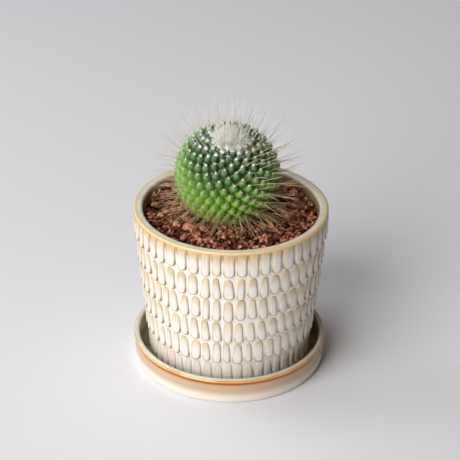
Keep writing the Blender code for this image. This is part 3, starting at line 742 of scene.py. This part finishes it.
class Bed:
    """A height map of the bed, on which chips are dropped one by one."""

    def __init__(self):
        self.reach = inner_radius(BED_TOP_EDGE) - BED_GAP
        side = int(2.0 * self.reach / BED_CELL) + 3
        self.axis = (np.arange(side) - (side - 1) / 2.0) * BED_CELL
        self.map = np.full((side, side), BED_BASE)
        across, along = np.meshgrid(self.axis, self.axis, indexing="ij")
        far = np.hypot(across, along)
        middle = np.hypot(across - BODY_CENTRE.x, along)
        self.inside = (far < self.reach) & (middle > NECK_CLEAR)
        near = np.clip(BODY_RADIUS**2 - middle**2, 0.0, None)
        plant = np.where(near > 0.0, BODY_CENTRE.z - np.sqrt(near) - BODY_GAP, 1.0)
        share = far / self.reach
        self.level = BED_TOP_MIDDLE + (BED_TOP_EDGE - BED_TOP_MIDDLE) * share
        self.ceiling = np.minimum(plant, self.level + CHIP_PROUD)

    def deepest(self, draw):
        """The place that lacks most, of a few places drawn at random."""
        places = []
        for _ in range(BED_LOOKS):
            spot = tuple(draw.integers(0, len(self.axis), 2))
            if self.inside[spot]:
                places.append((self.level[spot] - self.map[spot], spot))
        return max(places)[1] if places else None

    def drop(self, spot, turn, planes, size):
        """Height at which a chip comes to rest there and how far its top lies under the bed's level.

        None if it doesn't fit. The planes are those of its facets, each a normal and a distance.
        """
        normals = planes[:, :3] @ turn.T
        depth = planes[:, 3] * size
        reach = int(size * CHIP_HALF / BED_CELL) + 1
        if min(spot) < reach or max(spot) + reach >= len(self.axis):
            return None
        steps = np.arange(-reach, reach + 1)
        window = np.ix_(spot[0] + steps, spot[1] + steps)
        x = steps[:, None, None] * BED_CELL
        y = steps[None, :, None] * BED_CELL
        left = depth - normals[:, 0] * x - normals[:, 1] * y
        slope = normals[:, 2]
        upright = np.abs(slope) < UPRIGHT
        height = left / np.where(upright, 1.0, slope)
        upper = np.where(slope > UPRIGHT, height, 1.0).min(axis=-1)
        lower = np.where(slope < -UPRIGHT, height, -1.0).max(axis=-1)
        covered = (upper > lower) & np.where(upright, left > 0.0, True).all(axis=-1)
        if not covered.any() or not self.inside[window][covered].all():
            return None
        ground = self.map[window]
        rest = np.quantile((ground - lower)[covered], CHIP_REST)
        if (rest + upper > self.ceiling[window])[covered].any():
            return None
        self.map[window] = np.where(covered, np.maximum(ground, rest + upper), ground)
        return rest, self.level[spot] - rest - upper[covered].max()


def make_chips(material):
    draw = np.random.default_rng(SEED + 1)
    kinds = [chip_shape(draw) for _ in range(CHIP_SHAPES)]
    bed = Bed()
    shape = Shape()
    under = inner_radius(BED_BASE) - BED_GAP
    heights = BED_BASE - np.array([0.0, 0.0, 1.0, 1.0]) * MM
    # The slab under the chips carries full painted shade.
    shape.add_turned([NECK_CLEAR, under, under, NECK_CLEAR], heights, SLAB_SIDES, tone=-1.0, sunk=1.0)
    for index in range(CHIP_TRIES):
        spot = bed.deepest(draw)
        if spot is None:
            continue
        corners, faces, planes = kinds[index % CHIP_SHAPES]
        size = CHIP_SMALL + (CHIP_LARGE - CHIP_SMALL) * draw.uniform() ** 1.2
        place = bed.axis[list(spot)]
        room = bed.reach - math.hypot(*place)
        size = min(size, max(CHIP_LEAST, 2.1 * room))
        tilt = draw.normal(0.0, CHIP_TILT, 2)
        turn = np.array(Euler((tilt[0], tilt[1], draw.uniform(0.0, math.tau))).to_matrix())
        landed = bed.drop(spot, turn, planes, size)
        if landed is None:
            continue
        rest, depth = landed
        # Painted shade: a chip is darker the deeper it lies under the bed's level.
        sunk = np.clip(depth / CHIP_SHADE_DEPTH, 0.0, 1.0)
        shape.add(corners @ turn.T * size + (*place, rest), [faces], tone=draw.uniform(), sunk=sunk)
    place_piece(shape.made("stone_chips", material, smooth=False), "copper_chips", "gravel")


def chips_material():
    paint = Paint("copper stone", IOR=1.5, Metallic=0.55)
    tone = paint.value("tone")
    grain = paint.noise(0.9 * MM, 5.0)
    patch = paint.noise(2.6 * MM, 2.0)
    dark = paint.mix(grain, (42, 15, 6), (94, 41, 22))
    light = paint.mix(grain, (196, 92, 60), (255, 198, 160))
    flakes = paint.span(paint.noise(1.5 * MM, 4.0), 0.35, 0.70)
    share = paint.plus(paint.times(tone, 0.62), paint.times(patch, 0.30))
    share = paint.plus(share, paint.times(flakes, 0.36))
    # painted shade on the chips that lie deep in the bed
    share = paint.plus(share, paint.times(paint.value("sunk"), -0.45))
    colour = paint.blend(share, 0.32, 0.98, dark, light)
    colour = paint.blend(tone, 0.9965, 0.997, colour, (196, 194, 196))
    # Painted shade: the slab under the chips is near black.
    colour = paint.blend(tone, -0.4, -0.1, (40, 20, 12), colour)
    height = paint.plus(grain, paint.times(flakes, 1.2))
    return paint.finish(colour, 0.28, paint.bump(height, 0.26 * MM))


def soil_material():
    paint = Paint("soil", IOR=1.4)
    crumb = paint.noise(1.4 * MM, 5.0)
    colour = paint.mix(crumb, (24, 15, 10), (62, 40, 28))
    return paint.finish(colour, 0.95, paint.bump(crumb, 0.8 * MM))


# Cactus

def plant_directions(polar, turn):
    """Unit vectors at angles from the crown, turned round it."""
    polar, turn = np.broadcast_arrays(polar, turn)
    flat = np.sin(polar)
    upright = np.stack([flat * np.cos(turn), flat * np.sin(turn), np.cos(polar)], axis=-1)
    lean = Matrix.Rotation(LEAN_RIGHT, 3, "Y") @ Matrix.Rotation(LEAN_FORWARD, 3, "X")
    return upright @ np.array(lean).T


def tubercle_spiral():
    """Angle from the crown, turn round it and room of each tubercle, in a golden spiral."""
    rows = []
    polar = CROWN_EDGE
    turn = FIRST_TURN
    while polar < LAST_TUBERCLE:
        area = GROWN_CELL + (CROWN_CELL - GROWN_CELL) * math.exp(-(polar - CROWN_EDGE) / CELL_GROWTH)
        rows.append((polar, turn, area))
        turn += GOLDEN_ANGLE
        polar += area / (math.tau * BODY_RADIUS**2 * math.sin(polar))
    return np.array(rows).T


class Plant:
    """Where the tubercles stand and point, and where their areoles are, at the tips."""

    def __init__(self):
        self.polar, turn, area = tubercle_spiral()
        self.out = plant_directions(self.polar, turn)
        self.crown = plant_directions(0.0, 0.0)
        self.spacing = np.sqrt(area * 2.0 / math.sqrt(3.0))  # of points in even triangles
        up = unit(self.crown - self.out * (self.out @ self.crown)[:, None])
        self.way = unit(self.out + up * TUBERCLE_RISE)
        self.centre = np.array(BODY_CENTRE)
        self.tip = self.centre + self.out * BODY_RADIUS
        self.length = BODY_RADIUS + TUBERCLE_PROUD - TUBERCLE_ROOT
        sag = up * TUBERCLE_SAG * self.spacing[:, None]
        self.root = self.tip + self.out * TUBERCLE_PROUD - sag - self.way * self.length


def make_flesh(plant, material):
    """The tubercles, as separate bodies, over a round core and its neck."""
    draw = np.random.default_rng(SEED + 2)
    shape = Shape()
    steps = np.sin(np.linspace(0.0, math.pi / 2.0, TUBERCLE_RINGS + 1))[:-1]
    outline = [(step, (1.0 - step**TUBERCLE_FULL) ** TUBERCLE_BLUNT) for step in steps]
    count = len(plant.polar)
    widths = plant.spacing * TUBERCLE_WIDTH * draw.uniform(0.96, 1.05, count)
    tubes(
        shape, plant.root, plant.way, plant.length, widths, 0.0, outline, TUBERCLE_SIDES,
        tone=draw.uniform(-1.0, 1.0, count), polar=plant.polar,
    )
    core = bmesh.new()
    bmesh.ops.create_uvsphere(core, u_segments=64, v_segments=32, radius=CORE_RADIUS)
    points, faces = taken_apart(core)
    by_corners = [[face for face in faces if len(face) == corners] for corners in (3, 4)]
    polar = np.arccos(np.clip(points @ plant.crown / CORE_RADIUS, -1.0, 1.0))
    shape.add(points + plant.centre, by_corners, along=0.0, tone=0.0, polar=polar)
    heights = [NECK_TOP, SOIL_TOP + 4.0 * MM, SOIL_TOP - 3.0 * MM]
    stem = turned(np.array([1.3, 1.0, 1.0]) * NECK_RADIUS, heights, NECK_SIDES)
    stem[..., 0] += BODY_CENTRE.x
    column = np.arange(NECK_SIDES)
    caps = [column[None], (2 * NECK_SIDES + column)[None, ::-1]]
    shape.add(stem, [ring_faces(3, NECK_SIDES), *caps], along=0.0, tone=0.0, polar=math.pi)
    place_piece(shape.made("tubercles", material), "cactus_green", "cactus")


def flesh_material():
    """Green by the angle from the crown, with painted shade between young tubercles and a partly painted
    glow of light between older ones.
    """
    paint = Paint("cactus flesh", IOR=1.42, Subsurface_Weight=0.10, Subsurface_Scale=0.0012)
    paint.shader.inputs["Subsurface Radius"].default_value = (0.6, 1.0, 0.25)
    polar = paint.value("polar")
    along = paint.value("along")
    cloud = paint.noise(14.0 * MM, 2.0)
    grain = paint.noise(0.7 * MM, 4.0)
    young = paint.mix(cloud, (80, 120, 74), (102, 144, 88))
    grown = paint.mix(cloud, (112, 158, 70), (136, 178, 82))
    low = paint.mix(cloud, (142, 150, 58), (158, 164, 70))
    old = paint.mix(cloud, (170, 154, 72), (148, 128, 60))
    colour = paint.blend(polar, 0.6, 1.35, young, grown)
    colour = paint.blend(polar, 1.5, 2.1, colour, low)
    colour = paint.blend(polar, 1.85, 2.25, colour, old)
    # Painted shade: dark at the feet of the young tubercles near the crown.
    young_valley_shade = paint.span(polar, 1.45, 0.55)
    colour = paint.tinted(colour, (34, 50, 22), paint.span(along, 0.96, 0.70), 0.62, young_valley_shade)
    # Painted light: yellow-green at the feet of the older tubercles, partly their own colour and partly a
    # painted glow of light through the flesh.
    valley_glow = paint.blend(polar, 1.7, 2.3, (138, 188, 52), (170, 176, 70))
    old_valley_glow = paint.span(polar, 0.9, 1.6)
    colour = paint.tinted(colour, valley_glow, paint.span(along, 0.90, 0.58), 0.85, old_valley_glow)
    colour = paint.tinted(colour, (128, 164, 110), paint.span(grain, 0.5, 0.8), 0.25)
    return paint.finish(colour, 0.34, paint.bump(grain, 0.05 * MM))


def make_areoles(plant, material):
    """White wool on each tubercle's tip: a rough lump with short strands standing out of it."""
    draw = np.random.default_rng(SEED + 3)
    shape = Shape()
    ball = bmesh.new()
    bmesh.ops.create_icosphere(ball, subdivisions=2, radius=1.0)
    ball, faces = taken_apart(ball)
    for index, tip in enumerate(plant.tip):
        young = math.exp(-(plant.polar[index] - CROWN_EDGE) / LUMP_FADE)
        size = (LUMP_SMALL + LUMP_MORE * young) * draw.uniform(0.65, 1.25)
        rough = ball * (1.0 + draw.uniform(-0.35, 0.35, (len(ball), 1)))
        seat = tip - plant.way[index] * 0.2 * size
        shape.add(rough * size + seat, [faces], along=0.5, tone=draw.uniform(), polar=plant.polar[index])
    index = np.repeat(np.arange(len(plant.polar)), AREOLE_STRANDS)
    ways = unit(plant.way[index] * 0.8 + draw.normal(0.0, 0.85, (len(index), 3)))
    young = np.exp(-(plant.polar[index] - CROWN_EDGE) / STRAND_FADE)
    lengths = (0.80 + 1.7 * young) * MM * draw.uniform(0.6, 1.4, len(index))
    outline = [(0.0, 1.0), (0.5, 0.75)]
    tubes(
        shape, plant.tip[index], ways, lengths, (0.13 + 0.07 * young) * MM, 0.0, outline, 4,
        tone=draw.uniform(size=len(index)), polar=plant.polar[index],
    )
    place_piece(shape.made("areole_wool", material), "white_wool")


def kept_in(tips):
    """Moves tips inside the part's box and clear of the bed and the rim."""
    far = np.hypot(tips[:, 0], tips[:, 1])
    pull = np.minimum(1.0, SIDE_LIMIT / far)
    tips[:, :2] *= pull[:, None]
    lowest = np.where(far > RIM_REACH, OVER_RIM, LOWEST_TIP)
    tips[:, 2] = np.clip(tips[:, 2], lowest, HIGHEST_TIP)
    return tips


def spine_bodies(shape, roots, ways, lengths, widths, draw, **values):
    """Tapered spines with a slight bend, their tips kept where there is room."""
    count = len(roots)
    tips = kept_in(roots + ways * lengths[:, None])
    ways = tips - roots
    lengths = np.linalg.norm(ways, axis=1)
    bends = np.cross(unit(ways), draw.normal(size=(count, 3))) * (SPINE_SAG * lengths)[:, None]
    outline = [(0.0, 1.0), (0.25, 0.92), (0.5, 0.75), (0.75, 0.5)]
    tubes(shape, roots, ways, lengths, widths, bends, outline, 5, **values)


def make_spines(plant, material):
    """One long spine to an areole, two near the crown, five fine ones low down, few towards the light."""
    draw = np.random.default_rng(SEED + 4)
    shape = Shape()
    lowest = plant.tip[:, 2] < LOW_SPINES
    more = np.where(lowest, 5, np.where(plant.polar < 0.75, 2, 1))
    lit = plant.out @ unit(np.array(LIT_SIDE))
    bare = (lit > LIT_FROM) & (plant.polar > 0.6) & (draw.uniform(size=len(lit)) < LIT_SHARE) & ~lowest
    more = np.where(bare | (plant.tip[:, 2] < LOWEST_AREOLE), 0, more)
    index = np.repeat(np.arange(len(plant.polar)), more)
    count = len(index)
    polar = plant.polar[index]
    rise = 0.10 + 0.25 * np.exp(-polar)
    leaning = draw.uniform(size=count) < LEANING_SHARE
    rise = np.where(leaning & (polar > 0.7), draw.uniform(0.5, 1.1, count), rise)
    ways = unit(plant.out[index] + plant.crown * rise[:, None] + draw.normal(0.0, 0.14, (count, 3)))
    swept = plant.out[index] @ unit(np.array(SWEPT_SIDE)) > SWEPT_FROM
    swept &= draw.uniform(size=count) < SWEPT_SHARE
    aside = np.array(SWEPT_WAY) + draw.normal(0.0, 0.16, (count, 3))
    ways = np.where(swept[:, None], unit(plant.out[index] * 0.35 + aside), ways)
    lengths = SPINE_LENGTH * draw.uniform(0.75, 1.25, count)
    widths = SPINE_THICKNESS / 2.0 * np.where(polar < 0.9, 0.55, draw.uniform(0.55, 1.05, count))
    widths = np.where((lit[index] > LIT_FROM) | lowest[index], widths * 0.65, widths)
    white = np.where(swept, 0.0, np.clip((1.35 - polar) / 0.45, 0.0, 1.0))
    tone = draw.uniform(size=count)
    spine_bodies(shape, plant.tip[index], ways, lengths, widths, draw, tone=tone, white=white)
    place_piece(shape.made("spines", material), "white_wool")


def make_bristles(plant, material):
    """Short fine bristles round the areoles, white near the crown, longer and like straw low down."""
    draw = np.random.default_rng(SEED + 5)
    shape = Shape()
    fewer = np.clip((13 - 8.0 * (plant.polar - CROWN_EDGE)).astype(int), 4, 13)
    kinds = [plant.tip[:, 2] < LOWEST_TIP, plant.polar < 1.2, plant.polar < 1.6]
    number = np.select(kinds, [0, fewer, 8], 13)
    index = np.repeat(np.arange(len(plant.polar)), number)
    count = len(index)
    ways = unit(plant.way[index] * 0.75 + draw.normal(0.0, 0.8, (count, 3)))
    inward = np.minimum((ways * plant.way[index]).sum(axis=1), 0.15)
    ways = unit(ways - plant.way[index] * (inward - 0.15)[:, None])
    old = smooth_step((plant.polar[index] - 1.0) / 0.8)
    lengths = draw.uniform(1.8, 3.6, count) * MM * (1.0 + 0.7 * old)
    bends = plant.way[index] * -0.25 * lengths[:, None]
    outline = [(0.0, 1.0), (0.5, 0.7)]
    tubes(
        shape, plant.tip[index], ways, lengths, (0.07 + 0.05 * old) * MM, bends, outline, 3,
        tone=draw.uniform(size=count), white=1.0 - 0.85 * old,
    )
    place_piece(shape.made("bristles", material), "white_wool")


def spine_material():
    paint = Paint("spine", IOR=1.5)
    straw = paint.mix(paint.value("tone"), (176, 146, 100), (226, 204, 164))
    colour = paint.mix(paint.value("white"), straw, (244, 243, 236))
    base = paint.span(paint.value("along"), 0.25, 0.0)
    return paint.finish(paint.tinted(colour, (214, 196, 150), base, 0.4), 0.4)


def make_wool(plant, material):
    """The dense white cap of the crown: tufts of fine strands that lean outward, over a closed dome."""
    draw = np.random.default_rng(SEED + 6)
    shape = Shape()
    rings = 14
    columns = 40
    polar = np.linspace(0.002, WOOL_DOME, rings)[:, None]
    turn = (np.arange(columns) * math.tau / columns)[None, :]
    lump = 1.0 + 0.02 * draw.uniform(-1.0, 1.0, (rings, columns))
    radius = (DOME_RADIUS - DOME_FALL * (polar / CROWN_EDGE) ** 2) * lump
    ways = plant_directions(polar, turn)
    shell = np.concatenate([ways * radius[..., None], ways[::-1] * DOME_INSIDE]) + plant.centre
    shape.add(shell, [ring_faces(2 * rings, columns, closed=True)], along=0.3, tone=0.5)
    tuft = np.arange(WOOL_TUFTS)
    share = np.sqrt((tuft + 0.5) / WOOL_TUFTS)
    middle = plant_directions(share * WOOL_REACH, FIRST_TURN + GOLDEN_ANGLE * tuft)
    tuft = np.repeat(tuft, TUFT_STRANDS)
    strands = len(tuft)
    out = unit(middle[tuft] + draw.normal(0.0, TUFT_SPREAD, (strands, 3)))
    roots = plant.centre + out * WOOL_ROOT
    outward = (out - plant.crown) / math.sin(CROWN_EDGE)
    ways = unit(plant.crown * 0.50 + outward * 1.4 + draw.normal(0.0, 0.25, (strands, 3)))
    lengths = (2.9 + 1.5 * share[tuft]) * MM * draw.uniform(0.4, 1.5, strands)
    bends = draw.normal(0.0, 0.5, (strands, 3)) * MM
    outline = [(0.0, 1.0), (0.4, 0.85), (0.75, 0.6)]
    tone = draw.uniform(size=strands)
    tubes(shape, roots, ways, lengths, 0.10 * MM, bends, outline, 4, tone=tone)
    place_piece(shape.made("crown_wool_cap", material), "white_wool", "crown_wool")


def make_crown_spines(plant, material):
    """The upright white spines that stand in the cap."""
    draw = np.random.default_rng(SEED + 7)
    shape = Shape()
    number = np.arange(CROWN_SPINES)
    share = np.sqrt((number + 0.5) / CROWN_SPINES)
    out = plant_directions(CROWN_EDGE * share, 1.0 + number * GOLDEN_ANGLE)
    ways = out + plant.crown * 0.25 + (0.0, 0.0, 0.15)
    ways = unit(ways + draw.normal(0.0, 0.16, ways.shape))
    lengths = SPINE_LENGTH * draw.uniform(0.6, 1.0, CROWN_SPINES)
    roots = plant.centre + out * (31.0 * MM)
    tone = draw.uniform(size=CROWN_SPINES)
    spine_bodies(shape, roots, ways, lengths, SPINE_THICKNESS * 0.30, draw, tone=tone, white=1.0)
    place_piece(shape.made("crown_spines", material), "white_wool")


def wool_material():
    paint = Paint("white wool", IOR=1.3, Sheen_Weight=0.3)
    fresh = paint.mix(paint.value("tone"), (244, 249, 236), (254, 255, 252))
    aged = paint.mix(paint.value("tone"), (178, 190, 122), (220, 228, 178))
    colour = paint.blend(paint.value("polar"), 0.7, 1.4, fresh, aged)
    return paint.finish(colour, 0.9)


# Studio

def make_camera():
    ahead = Vector((0.0, math.cos(CAMERA_DOWN), -math.sin(CAMERA_DOWN)))
    data = bpy.data.cameras.new("camera")
    data.lens = LENS
    data.sensor_width = SENSOR_WIDTH
    data.clip_start = 0.05
    camera = linked("camera", data)
    place = Matrix.Translation(CAMERA_TARGET - ahead * CAMERA_DISTANCE)
    tilt = Matrix.Rotation(math.pi / 2.0 - CAMERA_DOWN, 4, "X")
    camera.matrix_world = place @ tilt @ Matrix.Rotation(CAMERA_ROLL, 4, "Z")
    bpy.context.scene.camera = camera


def make_light(name, place, power, size, colour):
    data = bpy.data.lights.new(name, "AREA")
    data.energy = power
    data.size = size
    data.color = colour
    light = linked(name, data)
    light.location = place
    aim = LIGHT_AIM - light.location
    light.rotation_euler = aim.to_track_quat("-Z", "Y").to_euler()


def make_studio():
    scene = bpy.context.scene
    scene.view_settings.view_transform = "Standard"
    world = bpy.data.worlds.new("studio")
    world.use_nodes = True
    background = world.node_tree.nodes["Background"]
    background.inputs["Color"].default_value = srgb(255, 200, 146)
    background.inputs["Strength"].default_value = ROOM_GLOW
    scene.world = world
    for light in LIGHTS:
        make_light(*light)
    shape = Shape()
    corners = np.array([(-0.5, -0.5, 0.0), (0.5, -0.5, 0.0), (0.5, 0.5, 0.0), (-0.5, 0.5, 0.0)])
    shape.add(corners * FLOOR_SIDE, [[[0, 1, 2, 3]]])
    paint = Paint("floor", Roughness=0.9)
    floor = shape.made("floor", paint.finish((236, 240, 248)))
    floor.location.z = -0.1 * MM


def main():
    make_camera()
    make_studio()
    glaze = pot_material()
    make_pot(glaze)
    make_pads(glaze)
    make_saucer(saucer_material())
    make_chips(chips_material())
    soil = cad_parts["soil"]
    soil.data.materials.clear()
    soil.data.materials.append(soil_material())
    plant = Plant()
    wool = wool_material()
    spine = spine_material()
    make_flesh(plant, flesh_material())
    make_areoles(plant, wool)
    make_bristles(plant, spine)
    make_spines(plant, spine)
    make_wool(plant, wool)
    make_crown_spines(plant, spine)


main()
